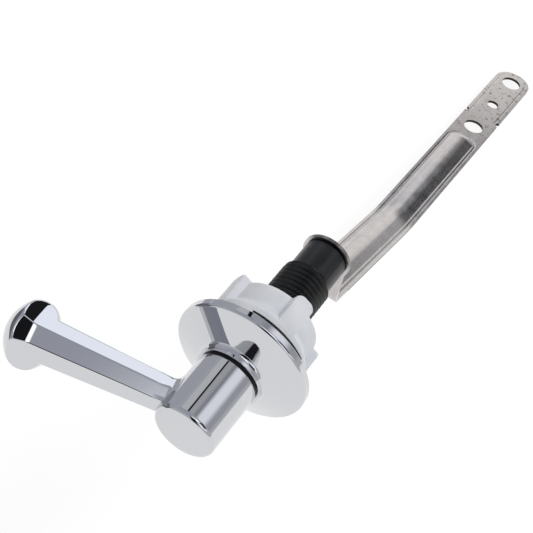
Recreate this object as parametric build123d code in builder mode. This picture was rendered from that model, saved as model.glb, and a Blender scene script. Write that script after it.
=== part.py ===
import os
from math import atan2, cos, degrees, radians, sin, tan

from build123d import *

# Cistern lever: a trip lever for a toilet tank. The shaft runs along Y into the tank, the handle
# points to -X and +Z is up. The origin lies on the shaft where the tank wall meets the flange.
# All sizes are in millimetres.

# Fits
running_clearance = 0.05
loose_clearance = 0.15
screw_clearance = 0.05
end_play = 0.2

# Threaded body that goes through the tank hole
body_bore_radius = 4.05
body_neck_radius = 7.5
flange_radius = 18.2
flange_thickness = 2.2
flange_notch_count = 4
flange_notch_angle = 30
flange_notch_depth = 2.6
flange_notch_start = 111
thread_radius = 7.6
thread_length = 30.4
thread_pitch = 1.65
thread_depth = 0.8
thread_chamfer = 0.9
plain_radius = 6.6
plain_length = 9.8
plain_chamfer = 0.5

# Escutcheon, a hollow dished cap on the flange
escutcheon_radius = 20.0
escutcheon_wall = 1.5
rim_overlap = 0.2
rim_height = 2.4
rim_edge_radius = 0.9
face_slope = 21.7
collar_radius = 9.8
collar_height = 1.95
collar_land = 0.18
inner_boss_radius = 9.6

# Bearing washer between the hub and the escutcheon
washer_thickness = 0.7
washer_radius = 8.6

# Handle casting
hub_radius = 9.1
hub_length = 20.5
hub_edge_fillet = 1.5
hub_socket_depth = 15.0
grip_lean = 9.7
grip_setback = 8.45
grip_facets = 8
grip_turn = -5.8
grip_root_flat = 8.9
grip_neck_flat = 12.7
knob_reach = 48.4
knob_radius = 9.6
knob_half_length = 7.2
knob_shoulder_radius = 5.4
scoop_facets = 3
scoop_lead = 0.8
scoop_slope = 31
scoop_radius = 4.0

# Spindle
spindle_radius = body_bore_radius - running_clearance
spindle_square = 5.6
spindle_flat_depth = 0.6
spindle_flat_length = 7.0

# Grub screw under the hub
grub_radius = 2.0
grub_sink = 0.8
grub_socket = 2.0
grub_socket_depth = 2.2
grub_from_base = 6.0

# Mounting nut
nut_gap = 0.5
nut_length = 13.2
nut_core_radius = 13.0
nut_flange_radius = 15.4
nut_flange_edge = 3.2
nut_flange_height = 6.0
nut_wing_count = 4
nut_wing_start = 63
nut_wing_radius = 15.2
nut_wing_width = 6.2
nut_wing_rise = 1.3
nut_wing_corner = 2.2

# Arm, a folded steel strip with a stiffening panel
sheet = 1.0
arm_width = 13.4
arm_disc_radius = 7.5
arm_drop = 17.4
arm_bend_radius = 2.2
arm_slope_near = 21.2
arm_slope_far = 9.4
arm_near_length = 63.0
arm_dogleg_radius = 14.0
tab_hole_radius = 3.55
tab_small_hole_radius = 2.15
tab_first_hole = 66.2
tab_hole_pitch = 18.0
tab_end_margin = 7.0
tab_nick_radius = 0.8
tab_nick_offset = 8.0
tab_end_flat = 0.6
panel_width = 10.0
panel_rise = 0.5
panel_crown = 0.4
panel_start = 5.0
panel_end_gap = 4.2
panel_end_roundness = 0.8

# Screw and lock washer that hold the arm
screw_radius = 2.0
screw_length = 9.0
screw_head_radius = 3.7
screw_head_height = 2.6
screw_head_round = 1.2
screw_slot_length = 4.4
screw_slot_width = 0.9
screw_slot_depth = 1.2
lock_washer_radius = 3.6
lock_washer_thickness = 0.9
lock_washer_split = 0.8

# Stations along the shaft
flange_front = -flange_thickness
rim_back = flange_front + rim_overlap
rim_corner = rim_back - rim_height
face_rise = (escutcheon_radius - collar_radius) * tan(radians(face_slope))
escutcheon_front = rim_corner - face_rise - collar_height
hub_base = escutcheon_front - washer_thickness - running_clearance
hub_front = hub_base - hub_length
body_end = thread_length + plain_length
arm_front = body_end + end_play
arm_back = arm_front + sheet
socket_radius = spindle_radius + screw_clearance
spindle_front = hub_base - hub_socket_depth
nut_front = nut_gap
nut_back = nut_front + nut_length
wing_back = nut_back + nut_wing_rise

os.makedirs("parts", exist_ok=True)


def across(angle):
    # Direction square to the shaft, at an angle from +X towards +Z.
    return Vector(cos(radians(angle)), 0, sin(radians(angle)))


# Threaded body: neck, notched flange, thread and plain nose, bored for the spindle. Plain V grooves stand for
# the turns of the thread
thread_turns = int((thread_length - thread_chamfer) / thread_pitch)
thread_start = thread_length - thread_chamfer - thread_turns * thread_pitch
thread_grooves = []
for turn in range(thread_turns):
    crest = thread_start + turn * thread_pitch
    thread_grooves.append((thread_radius, crest))
    thread_grooves.append((thread_radius - thread_depth, crest + thread_pitch / 2))
with BuildPart() as threaded_body:
    with BuildSketch(Plane.XY):
        with BuildLine():
            Polyline(
                (body_bore_radius, escutcheon_front),
                (body_neck_radius, escutcheon_front),
                (body_neck_radius, flange_front),
                (flange_radius, flange_front),
                (flange_radius, 0),
                (thread_radius, 0),
                *thread_grooves,
                (thread_radius, thread_length - thread_chamfer),
                (plain_radius, thread_length),
                (plain_radius, body_end - plain_chamfer),
                (plain_radius - plain_chamfer, body_end),
                (body_bore_radius, body_end),
                close=True,
            )
        make_face()
    revolve(axis=Axis.Y)
    for notch in range(flange_notch_count):
        middle = flange_notch_start + notch * 360 / flange_notch_count
        notch_plane = Plane((0, 0, 0), x_dir=across(middle), z_dir=(0, -1, 0))
        with BuildSketch(notch_plane) as notch_sketch:
            with Locations((flange_radius, 0)):
                Rectangle(
                    2 * flange_notch_depth,
                    2 * flange_radius * tan(radians(flange_notch_angle / 2)),
                )
            fillet(notch_sketch.vertices().sort_by(Axis.X)[0:2], flange_notch_depth / 2)
        extrude(amount=flange_thickness, mode=Mode.SUBTRACT)
threaded_body.part.label = "threaded_body"
export_step(threaded_body.part, "parts/threaded_body.step")

# Escutcheon: coned face with a rounded rim and a coved collar, open at the back, standing on the flange
# by its inner boss
escutcheon_inner = escutcheon_radius - escutcheon_wall
escutcheon_bore = body_neck_radius + running_clearance
collar_cove = (collar_height - collar_land) / tan(radians(45 - face_slope / 2))


def face_station(radius, depth):
    # Where the coned face, or its inside at a depth below it, stands along the shaft at a radius.
    return rim_corner - (escutcheon_radius - radius) * tan(radians(face_slope)) + depth


with BuildPart() as escutcheon:
    with BuildSketch(Plane.XY) as escutcheon_sketch:
        with BuildLine():
            Polyline(
                (escutcheon_radius, rim_back),
                (escutcheon_radius, rim_corner),
                (collar_radius, face_station(collar_radius, 0)),
                (collar_radius, escutcheon_front),
                (escutcheon_bore, escutcheon_front),
                (escutcheon_bore, flange_front),
                (inner_boss_radius, flange_front),
                (inner_boss_radius, face_station(inner_boss_radius, escutcheon_wall)),
                (escutcheon_inner, face_station(escutcheon_inner, escutcheon_wall)),
                (escutcheon_inner, rim_back),
                close=True,
            )
        make_face()
        corners = escutcheon_sketch.vertices()
        fillet(corners.sort_by_distance((escutcheon_radius, rim_corner))[0], rim_edge_radius)
        fillet(corners.sort_by_distance((collar_radius, face_station(collar_radius, 0)))[0], collar_cove)
    revolve(axis=Axis.Y)
escutcheon.part.label = "escutcheon"
export_step(escutcheon.part, "parts/escutcheon.step")

# Bearing washer, the dark ring at the foot of the hub
with BuildPart() as hub_washer:
    with BuildSketch(Plane.XY):
        with BuildLine():
            Polyline(
                (spindle_radius + loose_clearance, escutcheon_front - washer_thickness),
                (washer_radius, escutcheon_front - washer_thickness),
                (washer_radius, escutcheon_front),
                (spindle_radius + loose_clearance, escutcheon_front),
                close=True,
            )
        make_face()
    revolve(axis=Axis.Y)
hub_washer.part.label = "hub_washer"
export_step(hub_washer.part, "parts/hub_washer.step")

# Grip of the handle: a tapered eight-sided bar with a flattened ball at its end. The three flats at the front
# run on into the ball and rise through it
grip_root = Vector(0, hub_front + grip_setback, 0)
grip_along = Vector(-cos(radians(grip_lean)), -sin(radians(grip_lean)), 0)
grip_front = Vector(sin(radians(grip_lean)), -cos(radians(grip_lean)), 0)
facet_angle = 360 / grip_facets
knob_centre = grip_root + grip_along * knob_reach
tip_rise = knob_radius - knob_shoulder_radius
tip_run = knob_half_length - knob_shoulder_radius
tip_radius = (knob_half_length**2 + tip_rise**2 - knob_shoulder_radius**2) / 2 / tip_run
tip_angle = degrees(atan2(tip_rise, tip_radius - knob_half_length))
scoop_reach = knob_reach - scoop_lead
scoop_flat = grip_root_flat + (grip_neck_flat - grip_root_flat) * scoop_reach / knob_reach
scoop_end = knob_reach + 2 * knob_half_length
scoop_rise = (scoop_end - scoop_reach) * tan(radians(scoop_slope))


def grip_facing(angle):
    # Direction square to the grip, at an angle from its front towards +Z.
    return grip_front * cos(radians(angle)) + Vector(0, 0, sin(radians(angle)))


with BuildPart() as grip:
    with BuildSketch(Plane(grip_root, x_dir=grip_facing(grip_turn), z_dir=grip_along)):
        RegularPolygon(grip_root_flat / 2, grip_facets, major_radius=False)
    with BuildSketch(Plane(knob_centre, x_dir=grip_facing(grip_turn), z_dir=grip_along)):
        RegularPolygon(grip_neck_flat / 2, grip_facets, major_radius=False)
    loft()
    with BuildSketch(Plane(knob_centre, x_dir=grip_along, z_dir=grip_front)):
        with BuildLine():
            shoulder = JernArc((0, knob_radius), (1, 0), knob_shoulder_radius, tip_angle - 90)
            tip = JernArc(shoulder @ 1, shoulder % 1, tip_radius, -tip_angle)
            Polyline(tip @ 1, (0, 0), shoulder @ 0)
        make_face()
        mirror(about=Plane.YZ)
    revolve(axis=Axis(grip_root, grip_along))
    for facet in range(scoop_facets):
        facing = grip_facing(facet_angle * (facet + 0.5) + grip_turn)
        with BuildSketch(Plane(grip_root, x_dir=grip_along, z_dir=grip_along.cross(facing))):
            with BuildLine():
                flat = FilletPolyline(
                    (0, grip_root_flat / 2),
                    (scoop_reach, scoop_flat / 2),
                    (scoop_end, scoop_flat / 2 + scoop_rise),
                    radius=scoop_radius,
                )
                Polyline(flat @ 1, (scoop_end, -2 * knob_radius), (0, -2 * knob_radius), flat @ 0)
            make_face()
        extrude(amount=2 * knob_radius, both=True, mode=Mode.INTERSECT)

# Handle: the hub and the grip are one casting, bored from behind for the spindle
with BuildPart() as handle:
    with BuildSketch(Plane.XY):
        with BuildLine():
            Polyline(
                (0, hub_front),
                (hub_radius, hub_front),
                (hub_radius, hub_base),
                (0, hub_base),
                close=True,
            )
        make_face()
    revolve(axis=Axis.Y)
    fillet(handle.edges().group_by(Axis.Y)[0], hub_edge_fillet)
    add(grip.part)
    with BuildSketch(Plane((0, hub_base, 0), x_dir=(1, 0, 0), z_dir=(0, -1, 0))):
        Circle(socket_radius)
    extrude(amount=hub_socket_depth, mode=Mode.SUBTRACT)
    with BuildSketch(Plane.XY.offset(-hub_radius)):
        with Locations((0, hub_base - grub_from_base)):
            Circle(grub_radius + screw_clearance)
    extrude(amount=hub_radius, mode=Mode.SUBTRACT)
handle.part.label = "handle"
export_step(handle.part, "parts/handle.step")

# Spindle: round through the body, flatted under the grub screw, squared for the arm and tapped
square_end = arm_back - running_clearance
grub_tip = spindle_radius - spindle_flat_depth
with BuildPart() as spindle:
    with BuildSketch(Plane.XY):
        with BuildLine():
            Polyline(
                (0, spindle_front),
                (spindle_radius, spindle_front),
                (spindle_radius, arm_front),
                (0, arm_front),
                close=True,
            )
        make_face()
    revolve(axis=Axis.Y)
    with BuildSketch(Plane((0, arm_front, 0), x_dir=(1, 0, 0), z_dir=(0, 1, 0))):
        Rectangle(spindle_square, spindle_square)
    extrude(amount=square_end - arm_front)
    with BuildSketch(Plane.XY.offset(-spindle_radius)):
        with Locations((0, hub_base - grub_from_base)):
            Rectangle(2 * spindle_radius, spindle_flat_length)
    extrude(amount=spindle_flat_depth, mode=Mode.SUBTRACT)
    with BuildSketch(Plane((0, square_end, 0), x_dir=(1, 0, 0), z_dir=(0, -1, 0))):
        Circle(screw_radius + screw_clearance)
    extrude(amount=screw_length, mode=Mode.SUBTRACT)
spindle.part.label = "spindle"
export_step(spindle.part, "parts/spindle.step")

# Grub screw with a hexagon socket, sunk in the underside of the hub
with BuildPart() as grub_screw:
    with BuildSketch(Plane.XY.offset(-grub_tip)):
        with Locations((0, hub_base - grub_from_base)):
            Circle(grub_radius)
    extrude(amount=-(hub_radius - grub_sink - grub_tip))
    with BuildSketch(Plane.XY.offset(-(hub_radius - grub_sink))):
        with Locations((0, hub_base - grub_from_base)):
            RegularPolygon(grub_socket / 2, 6, major_radius=False)
    extrude(amount=grub_socket_depth, mode=Mode.SUBTRACT)
grub_screw.part.label = "grub_screw"
export_step(grub_screw.part, "parts/grub_screw.step")

# Mounting nut: coned flange, round core and four finger wings that stand past the core
with BuildPart() as mounting_nut:
    with BuildSketch(Plane.XY):
        with BuildLine():
            Polyline(
                (thread_radius + loose_clearance, nut_front),
                (nut_flange_radius, nut_front),
                (nut_flange_radius, nut_front + nut_flange_edge),
                (nut_core_radius, nut_front + nut_flange_height),
                (nut_core_radius, nut_back),
                (thread_radius + loose_clearance, nut_back),
                close=True,
            )
        make_face()
    revolve(axis=Axis.Y)
    for wing in range(nut_wing_count):
        middle = nut_wing_start + wing * 360 / nut_wing_count
        wing_foot = across(middle) * (nut_core_radius - nut_wing_rise)
        wing_plane = Plane(wing_foot, x_dir=(0, 1, 0), z_dir=across(middle))
        with BuildSketch(wing_plane) as wing_sketch:
            with Locations(((nut_front + wing_back) / 2, 0)):
                Rectangle(wing_back - nut_front, nut_wing_width)
            fillet(wing_sketch.vertices().sort_by(Axis.X)[-2:], nut_wing_corner)
        extrude(amount=nut_wing_radius - nut_core_radius + nut_wing_rise)
mounting_nut.part.label = "mounting_nut"
export_step(mounting_nut.part, "parts/mounting_nut.step")

# Arm: one strip of sheet steel, with a round lug on the spindle's square, a fold below it, a dogleg,
# a crowned panel pressed up along the middle and a flat tab with three holes
near_along = Vector(0, cos(radians(arm_slope_near)), -sin(radians(arm_slope_near)))
near_up = Vector(0, sin(radians(arm_slope_near)), cos(radians(arm_slope_near)))
far_along = Vector(0, cos(radians(arm_slope_far)), -sin(radians(arm_slope_far)))
far_up = Vector(0, sin(radians(arm_slope_far)), cos(radians(arm_slope_far)))
lug_centre = Vector(0, arm_front + sheet / 2, 0)
fold = lug_centre - Vector(0, 0, arm_drop)
dogleg = fold + near_along * arm_near_length
tab_length = tab_first_hole + 2 * tab_hole_pitch + tab_end_margin
tab_end = dogleg + far_along * tab_length
panel_from = fold + near_along * panel_start
panel_to = dogleg + far_along * (tab_first_hole - tab_hole_radius - panel_end_gap)


def flat_point(point):
    # A point of the arm's middle plane as the sketch on Plane.YZ sees it.
    return (point.Y, point.Z)


def nearest_edge(part, point):
    # The edge whose middle lies at a point.
    return part.edges().sort_by(lambda edge: (edge.center() - point).length)[0]


def panel_outline(height, width):
    # Crowned band with its shoulders at a height above the strip's middle, reaching past the strip's face.
    crown = ThreePointArc((-width / 2, height), (0, height + panel_crown), (width / 2, height))
    base = height - panel_rise - sheet / 4
    Polyline(crown @ 1, (width / 2, base), (-width / 2, base), crown @ 0)


hollow_width = panel_width - sheet
panel_end_radius = hollow_width / 2 * panel_end_roundness
panel_plane = Plane(panel_from, x_dir=(-1, 0, 0), z_dir=near_along)
with BuildLine(Plane.YZ) as panel_path:
    Polyline(flat_point(panel_from), flat_point(dogleg), flat_point(panel_to))
    fillet(panel_path.vertices().sort_by_distance(dogleg)[0], arm_dogleg_radius)

with BuildPart() as panel_raised:
    with BuildSketch(panel_plane):
        with BuildLine():
            panel_outline(sheet / 2 + panel_rise, panel_width)
        make_face()
    sweep(path=panel_path.line)
    for side in (-1, 1):
        corner = panel_to + far_up * (sheet * 3 / 8 + panel_rise / 2) + Vector(side * panel_width / 2, 0, 0)
        fillet(nearest_edge(panel_raised, corner), panel_end_radius)

with BuildPart() as panel_hollow:
    with BuildSketch(panel_plane):
        with BuildLine():
            panel_outline(panel_rise - sheet / 2, hollow_width)
        make_face()
    sweep(path=panel_path.line)
    for side in (-1, 1):
        corner = panel_to + far_up * (panel_rise / 2 - sheet * 5 / 8) + Vector(side * hollow_width / 2, 0, 0)
        fillet(nearest_edge(panel_hollow, corner), panel_end_radius)

with BuildLine(Plane.YZ) as strip_path:
    Polyline(flat_point(lug_centre), flat_point(fold), flat_point(dogleg), flat_point(tab_end))
    fillet(strip_path.vertices().sort_by_distance(fold)[0], arm_bend_radius)
    fillet(strip_path.vertices().sort_by_distance(dogleg)[0], arm_dogleg_radius)

lug_plane = Plane((0, arm_front, 0), x_dir=(1, 0, 0), z_dir=(0, 1, 0))
with BuildPart() as lever_arm:
    with BuildSketch(Plane(lug_centre, x_dir=(1, 0, 0), z_dir=(0, 0, -1))):
        Rectangle(arm_width, sheet)
    sweep(path=strip_path.line)
    with BuildSketch(lug_plane):
        Circle(arm_disc_radius)
    extrude(amount=sheet)
    for side in (-1, 1):
        corner = tab_end + Vector(side * arm_width / 2, 0, 0)
        fillet(nearest_edge(lever_arm, corner), (arm_width - tab_end_flat) / 2)
    add(panel_raised.part)
    add(panel_hollow.part, mode=Mode.SUBTRACT)
    with BuildSketch(lug_plane):
        Rectangle(spindle_square + 2 * screw_clearance, spindle_square + 2 * screw_clearance)
    extrude(amount=sheet, mode=Mode.SUBTRACT)
    with BuildSketch(Plane(dogleg, x_dir=far_along, z_dir=far_up)):
        with Locations((tab_first_hole, 0), (tab_first_hole + 2 * tab_hole_pitch, 0)):
            Circle(tab_hole_radius)
        with Locations((tab_first_hole + tab_hole_pitch, 0)):
            Circle(tab_small_hole_radius)
        with Locations((tab_first_hole + tab_nick_offset, 0)):
            with GridLocations(0, arm_width, 1, 2):
                Circle(tab_nick_radius)
    extrude(amount=sheet, both=True, mode=Mode.SUBTRACT)
lever_arm.part.label = "lever_arm"
export_step(lever_arm.part, "parts/lever_arm.step")

# Split lock washer under the head of the screw
washer_back = arm_back + lock_washer_thickness
with BuildPart() as lock_washer:
    with BuildSketch(Plane((0, arm_back, 0), x_dir=(1, 0, 0), z_dir=(0, 1, 0))):
        Circle(lock_washer_radius)
        Circle(screw_radius + loose_clearance, mode=Mode.SUBTRACT)
        with Locations((lock_washer_radius / 2, 0)):
            Rectangle(lock_washer_radius, lock_washer_split, mode=Mode.SUBTRACT)
    extrude(amount=lock_washer_thickness)
lock_washer.part.label = "lock_washer"
export_step(lock_washer.part, "parts/lock_washer.step")

# Pan head screw with a cross recess, into the end of the spindle
with BuildPart() as arm_screw:
    with BuildSketch(Plane.XY):
        with BuildLine():
            Polyline(
                (0, washer_back - screw_length),
                (screw_radius, washer_back - screw_length),
                (screw_radius, washer_back),
                (screw_head_radius, washer_back),
                (screw_head_radius, washer_back + screw_head_height),
                (0, washer_back + screw_head_height),
                close=True,
            )
        make_face()
    revolve(axis=Axis.Y)
    fillet(arm_screw.edges().group_by(Axis.Y)[-1], screw_head_round)
    with BuildSketch(Plane((0, washer_back + screw_head_height, 0), x_dir=(1, 0, 0), z_dir=(0, -1, 0))):
        Rectangle(screw_slot_length, screw_slot_width)
        Rectangle(screw_slot_width, screw_slot_length)
    extrude(amount=screw_slot_depth, mode=Mode.SUBTRACT)
arm_screw.part.label = "arm_screw"
export_step(arm_screw.part, "parts/arm_screw.step")
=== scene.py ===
import math

import bmesh
import bpy
from mathutils import Matrix, Vector


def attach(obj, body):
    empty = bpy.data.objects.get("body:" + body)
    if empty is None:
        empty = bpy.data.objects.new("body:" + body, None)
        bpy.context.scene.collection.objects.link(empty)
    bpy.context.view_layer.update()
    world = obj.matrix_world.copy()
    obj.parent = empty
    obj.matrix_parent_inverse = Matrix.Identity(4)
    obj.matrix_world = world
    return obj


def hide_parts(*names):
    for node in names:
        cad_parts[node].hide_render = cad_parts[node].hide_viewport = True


# Cistern lever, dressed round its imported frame. The shaft runs along Y into the cistern.
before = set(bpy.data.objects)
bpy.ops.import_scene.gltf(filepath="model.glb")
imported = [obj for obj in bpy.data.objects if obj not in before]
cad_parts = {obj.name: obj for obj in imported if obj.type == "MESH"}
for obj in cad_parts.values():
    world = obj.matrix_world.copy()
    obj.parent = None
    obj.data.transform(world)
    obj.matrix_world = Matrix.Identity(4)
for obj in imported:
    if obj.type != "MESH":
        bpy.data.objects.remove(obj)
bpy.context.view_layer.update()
mm = 0.001
scene = bpy.context.scene
print("frame loaded:", ", ".join(sorted(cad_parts)))


def linear(hexColour):
    # sRGB hex to the linear colour that a shader takes
    parts = [int(hexColour[i:i + 2], 16) / 255 for i in (1, 3, 5)]
    return tuple(p / 12.92 if p <= 0.04045 else ((p + 0.055) / 1.055) ** 2.4 for p in parts) + (1.0,)


def addNode(tree, kind, settings=None, values=None, links=None):
    # one node with its settings, its socket values and what feeds its sockets
    node = tree.nodes.new(kind)
    for key, value in (settings or {}).items():
        setattr(node, key, value)
    for key, value in (values or {}).items():
        node.inputs[key].default_value = value
    for key, source in (links or {}).items():
        tree.links.new(source, node.inputs[key])
    return node


def newMaterial(name):
    material = bpy.data.materials.new(name)
    material.use_nodes = True
    tree = material.node_tree
    return material, tree, tree.nodes["Principled BSDF"]


def setRamp(node, stops):
    # colour stops as (place, hex)
    ramp = node.color_ramp
    while len(ramp.elements) < len(stops):
        ramp.elements.new(0.5)
    for element, (place, hexColour) in zip(ramp.elements, stops):
        element.position = place
        element.color = linear(hexColour)


def patternCoords(tree, stretch):
    # Object coordinates stretched so that one pattern unit is the given millimetres along each axis
    coords = addNode(tree, "ShaderNodeTexCoord")
    scale = [1 / (size * mm) for size in stretch]
    return addNode(tree, "ShaderNodeMapping", values={"Scale": scale},
                   links={"Vector": coords.outputs["Object"]})


# Materials

# Bright chrome on a polished zinc casting: a mirror with the faint waves that polishing leaves
def chromePlate():
    look = {"colour": "#cdced1", "roughness": 0.035, "waveSize": 7.0, "wave": 0.006, "hazeSize": 3.0}
    material, tree, shader = newMaterial("chromePlate")
    shader.inputs["Base Color"].default_value = linear(look["colour"])
    shader.inputs["Metallic"].default_value = 1.0
    waves = addNode(tree, "ShaderNodeTexNoise", values={"Scale": 1.0, "Detail": 1.0},
                    links={"Vector": patternCoords(tree, [look["waveSize"]] * 3).outputs[0]})
    bump = addNode(tree, "ShaderNodeBump", values={"Strength": look["wave"], "Distance": 1 * mm},
                   links={"Height": waves.outputs["Fac"]})
    tree.links.new(bump.outputs[0], shader.inputs["Normal"])
    haze = addNode(tree, "ShaderNodeTexNoise", values={"Scale": 1.0, "Detail": 4.0},
                   links={"Vector": patternCoords(tree, [look["hazeSize"]] * 3).outputs[0]})
    rough = addNode(tree, "ShaderNodeMapRange",
                    values={"To Min": look["roughness"] * 0.6, "To Max": look["roughness"] * 1.4},
                    links={"Value": haze.outputs["Fac"]})
    tree.links.new(rough.outputs[0], shader.inputs["Roughness"])
    return material


# Cold rolled steel strip: faint rolling streaks, a drift of tone, pits on the tab, and edges and holes
# darkened, partly as burnished cut steel and partly as painted shade
def armSteel():
    look = {"light": "#ccc8c7", "middle": "#c3bfbe", "dark": "#b9b5b4", "pit": "#55524f", "cut": "#332f2d",
            "streak": [0.5, 40.0, 40.0], "drift": 5.0, "driftShare": 0.7, "roughLow": 0.2, "roughHigh": 0.3,
            "grain": 0.6, "grainStrength": 0.028, "pitSize": 1.5, "pitFrom": 0.56, "pitTo": 0.72,
            "pitFew": 0.12, "tabFrom": 158.0, "tabTo": 163.0, "foldAt": 50.0, "lugAbove": -10.0,
            "lugShare": 0.6, "faceOn": 0.6, "edgeOn": 0.35}
    material, tree, shader = newMaterial("armSteel")
    shader.inputs["Metallic"].default_value = 1.0
    streaks = addNode(tree, "ShaderNodeTexNoise", values={"Scale": 1.0, "Detail": 2.0},
                      links={"Vector": patternCoords(tree, look["streak"]).outputs[0]})
    drift = addNode(tree, "ShaderNodeTexNoise", values={"Scale": 1.0, "Detail": 3.0},
                    links={"Vector": patternCoords(tree, [look["drift"]] * 3).outputs[0]})
    both = addNode(tree, "ShaderNodeMix", {"data_type": "FLOAT"}, {"Factor": look["driftShare"]},
                   {"A": streaks.outputs["Fac"], "B": drift.outputs["Fac"]})
    tone = addNode(tree, "ShaderNodeValToRGB", links={"Fac": both.outputs["Result"]})
    setRamp(tone, [(0.32, look["dark"]), (0.5, look["middle"]), (0.68, look["light"])])
    pits = addNode(tree, "ShaderNodeTexNoise", values={"Scale": 1.0, "Detail": 4.0, "Roughness": 0.65},
                   links={"Vector": patternCoords(tree, [look["pitSize"]] * 3).outputs[0]})
    pitMask = addNode(tree, "ShaderNodeMapRange",
                      values={"From Min": look["pitFrom"], "From Max": look["pitTo"]},
                      links={"Value": pits.outputs["Fac"]})
    place = addNode(tree, "ShaderNodeSeparateXYZ",
                    links={"Vector": addNode(tree, "ShaderNodeTexCoord").outputs["Object"]})
    onTab = addNode(tree, "ShaderNodeMapRange",
                    values={"From Min": look["tabFrom"] * mm, "From Max": look["tabTo"] * mm,
                            "To Min": look["pitFew"]}, links={"Value": place.outputs["Y"]})
    pitted = addNode(tree, "ShaderNodeMath", {"operation": "MULTIPLY"},
                     links={0: pitMask.outputs[0], 1: onTab.outputs[0]})
    colour = addNode(tree, "ShaderNodeMix", {"data_type": "RGBA"}, links={"Factor": pitted.outputs[0]})
    tree.links.new(tone.outputs["Color"], colour.inputs["A"])
    colour.inputs["B"].default_value = linear(look["pit"])
    # the strip's faces look along Y on the lug and along Z beyond the fold, and its cut edges and hole walls
    # don't
    facing = addNode(tree, "ShaderNodeSeparateXYZ",
                     links={"Vector": addNode(tree, "ShaderNodeTexCoord").outputs["Normal"]})
    onLug = addNode(tree, "ShaderNodeMath", {"operation": "GREATER_THAN"}, {1: look["lugAbove"] * mm},
                    {0: place.outputs["Z"]})
    upright = addNode(tree, "ShaderNodeMath", {"operation": "ABSOLUTE"}, links={0: facing.outputs["Y"]})
    level = addNode(tree, "ShaderNodeMath", {"operation": "ABSOLUTE"}, links={0: facing.outputs["Z"]})
    flat = addNode(tree, "ShaderNodeMix", links={"Factor": onLug.outputs[0], "A": level.outputs[0],
                                                 "B": upright.outputs[0]})
    beyondFold = addNode(tree, "ShaderNodeMath", {"operation": "GREATER_THAN"}, {1: look["foldAt"] * mm},
                         {0: place.outputs["Y"]})
    # painted shade: edge and hole faces take the dark cut colour, partly the darker burnished cut steel and
    # partly shade painted into the holes, fully beyond the fold and in part on the lug
    burnishAndShadeMask = addNode(tree, "ShaderNodeMapRange",
                      values={"From Min": look["faceOn"], "From Max": look["edgeOn"]},
                      links={"Value": flat.outputs[0]})
    reach = addNode(tree, "ShaderNodeMath", {"operation": "MULTIPLY_ADD"}, {1: look["lugShare"]},
                    {0: onLug.outputs[0], 2: beyondFold.outputs[0]})
    burnishAndShadeMask = addNode(tree, "ShaderNodeMath", {"operation": "MULTIPLY"},
                      links={0: burnishAndShadeMask.outputs[0], 1: reach.outputs[0]})
    burnishAndShadeColour = addNode(tree, "ShaderNodeMix", {"data_type": "RGBA"}, links={"Factor": burnishAndShadeMask.outputs[0]})
    tree.links.new(colour.outputs["Result"], burnishAndShadeColour.inputs["A"])
    burnishAndShadeColour.inputs["B"].default_value = linear(look["cut"])
    tree.links.new(burnishAndShadeColour.outputs["Result"], shader.inputs["Base Color"])
    rough = addNode(tree, "ShaderNodeMapRange",
                    values={"To Min": look["roughLow"], "To Max": look["roughHigh"]},
                    links={"Value": drift.outputs["Fac"]})
    tree.links.new(rough.outputs[0], shader.inputs["Roughness"])
    grain = addNode(tree, "ShaderNodeTexNoise", values={"Scale": 1.0, "Detail": 3.0},
                    links={"Vector": patternCoords(tree, [look["grain"]] * 3).outputs[0]})
    bump = addNode(tree, "ShaderNodeBump", values={"Strength": look["grainStrength"], "Distance": 0.1 * mm},
                   links={"Height": grain.outputs["Fac"]})
    tree.links.new(bump.outputs[0], shader.inputs["Normal"])
    return material


# A moulded plastic: a fine spark-eroded grain and a slow drift of tone and gloss
def mouldedPlastic(name, look):
    material, tree, shader = newMaterial(name)
    drift = addNode(tree, "ShaderNodeTexNoise", values={"Scale": 1.0, "Detail": 3.0},
                    links={"Vector": patternCoords(tree, [look["driftSize"]] * 3).outputs[0]})
    tone = addNode(tree, "ShaderNodeValToRGB", links={"Fac": drift.outputs["Fac"]})
    setRamp(tone, [(0.35, look["dark"]), (0.65, look["light"])])
    tree.links.new(tone.outputs["Color"], shader.inputs["Base Color"])
    rough = addNode(tree, "ShaderNodeMapRange",
                    values={"To Min": look["roughness"] - 0.06, "To Max": look["roughness"] + 0.06},
                    links={"Value": drift.outputs["Fac"]})
    tree.links.new(rough.outputs[0], shader.inputs["Roughness"])
    grain = addNode(tree, "ShaderNodeTexNoise", values={"Scale": 1.0, "Detail": 2.0},
                    links={"Vector": patternCoords(tree, [look["grainSize"]] * 3).outputs[0]})
    bump = addNode(tree, "ShaderNodeBump", values={"Strength": look["grain"], "Distance": 0.05 * mm},
                   links={"Height": grain.outputs["Fac"]})
    tree.links.new(bump.outputs[0], shader.inputs["Normal"])
    shader.inputs["IOR"].default_value = look["ior"]
    shader.inputs["Specular IOR Level"].default_value = look["sheen"]
    if look["glow"]:  # light that goes a little way into the plastic
        shader.inputs["Subsurface Weight"].default_value = look["glow"]
        shader.inputs["Subsurface Scale"].default_value = look["glowDepth"] * mm
        shader.inputs["Subsurface Radius"].default_value = (1.0, 1.0, 1.0)
    return material


# A turned or plated metal of the small hidden pieces, with rings of tool marks
def turnedMetal(name, look):
    material, tree, shader = newMaterial(name)
    shader.inputs["Metallic"].default_value = 1.0
    marks = addNode(tree, "ShaderNodeTexNoise", values={"Scale": 1.0, "Detail": 3.0},
                    links={"Vector": patternCoords(tree, look["marks"]).outputs[0]})
    tone = addNode(tree, "ShaderNodeValToRGB", links={"Fac": marks.outputs["Fac"]})
    setRamp(tone, [(0.3, look["dark"]), (0.7, look["light"])])
    tree.links.new(tone.outputs["Color"], shader.inputs["Base Color"])
    rough = addNode(tree, "ShaderNodeMapRange",
                    values={"To Min": look["roughness"] - 0.08, "To Max": look["roughness"] + 0.08},
                    links={"Value": marks.outputs["Fac"]})
    tree.links.new(rough.outputs[0], shader.inputs["Roughness"])
    return material


chrome = chromePlate()
steel = armSteel()
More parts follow.
